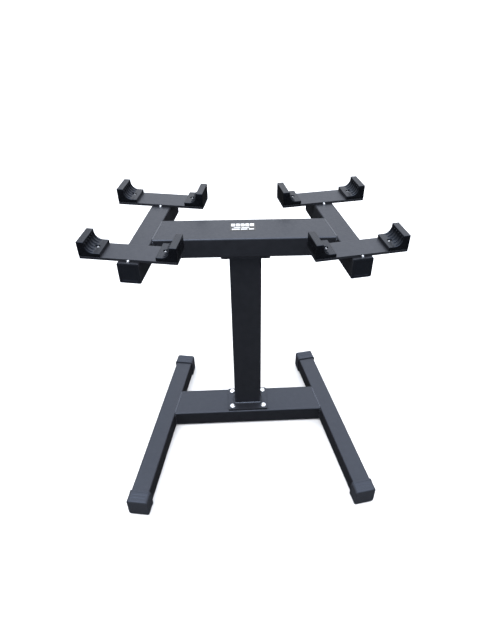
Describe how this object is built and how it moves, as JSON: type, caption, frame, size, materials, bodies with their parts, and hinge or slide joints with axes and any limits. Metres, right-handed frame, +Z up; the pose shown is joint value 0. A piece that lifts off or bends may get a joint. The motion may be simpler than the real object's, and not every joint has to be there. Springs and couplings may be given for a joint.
{
  "type": "floor stand for a pair of adjustable dumbbells",
  "caption": "Floor stand for a pair of adjustable dumbbells: splayed H base, bolted post, beam with two rails and saddle plates that end in ribbed cradles.",
  "frame": {"origin": "on the floor, under the middle of the bounding box", "axes": "+X to the right of a person at the stand, along its longest extent; +Y away from that person; +Z up"},
  "size_m": [0.7332, 0.5928, 0.681],
  "materials": {
    "frame_paint": "fine textured charcoal powder coat",
    "plate_paint": "fine textured charcoal powder coat",
    "painted_weld": "semi-gloss coat over a rippled bead",
    "zinc_hardware": "bright zinc plate",
    "plain_nut_steel": "plain steel",
    "cradle_plastic": "moulded black, fine grain",
    "cap_plastic": "moulded dark grey, fine grain",
    "plug_plastic": "moulded black",
    "label_film": "dark film printed with plain white bars, no lettering"
  },
  "bodies": {
    "root": {"base_cross_tube": "frame_paint", "base_flange_bolts": "zinc_hardware", "base_frame_welds": "painted_weld", "base_weld_nuts": "plain_nut_steel", "beam_label": "label_film", "beam_tube": "frame_paint", "cradle_front_left_inner": "cradle_plastic", "cradle_front_left_outer": "cradle_plastic", "cradle_front_right_inner": "cradle_plastic", "cradle_front_right_outer": "cradle_plastic", "cradle_nuts": "zinc_hardware", "cradle_rear_left_inner": "cradle_plastic", "cradle_rear_left_outer": "cradle_plastic", "cradle_rear_right_inner": "cradle_plastic", "cradle_rear_right_outer": "cradle_plastic", "cradle_screws": "zinc_hardware", "cradle_washers": "zinc_hardware", "leg_cap_front_left": "cap_plastic", "leg_cap_front_right": "cap_plastic", "leg_cap_rear_left": "cap_plastic", "leg_cap_rear_right": "cap_plastic", "leg_tube_left": "frame_paint", "leg_tube_right": "frame_paint", "post_bottom_flange": "frame_paint", "post_top_flange": "frame_paint", "post_tube": "frame_paint", "post_welds": "painted_weld", "rail_plug_front_left": "plug_plastic", "rail_plug_front_right": "plug_plastic", "rail_plug_rear_left": "plug_plastic", "rail_plug_rear_right": "plug_plastic", "saddle_plate_front_left": "plate_paint", "saddle_plate_front_right": "plate_paint", "saddle_plate_rear_left": "plate_paint", "saddle_plate_rear_right": "plate_paint", "saddle_plate_welds": "painted_weld", "top_flange_bolts": "zinc_hardware", "top_frame_welds": "painted_weld", "top_rail_left": "frame_paint", "top_rail_right": "frame_paint", "top_weld_nuts": "plain_nut_steel"}
  },
  "joints": []
}
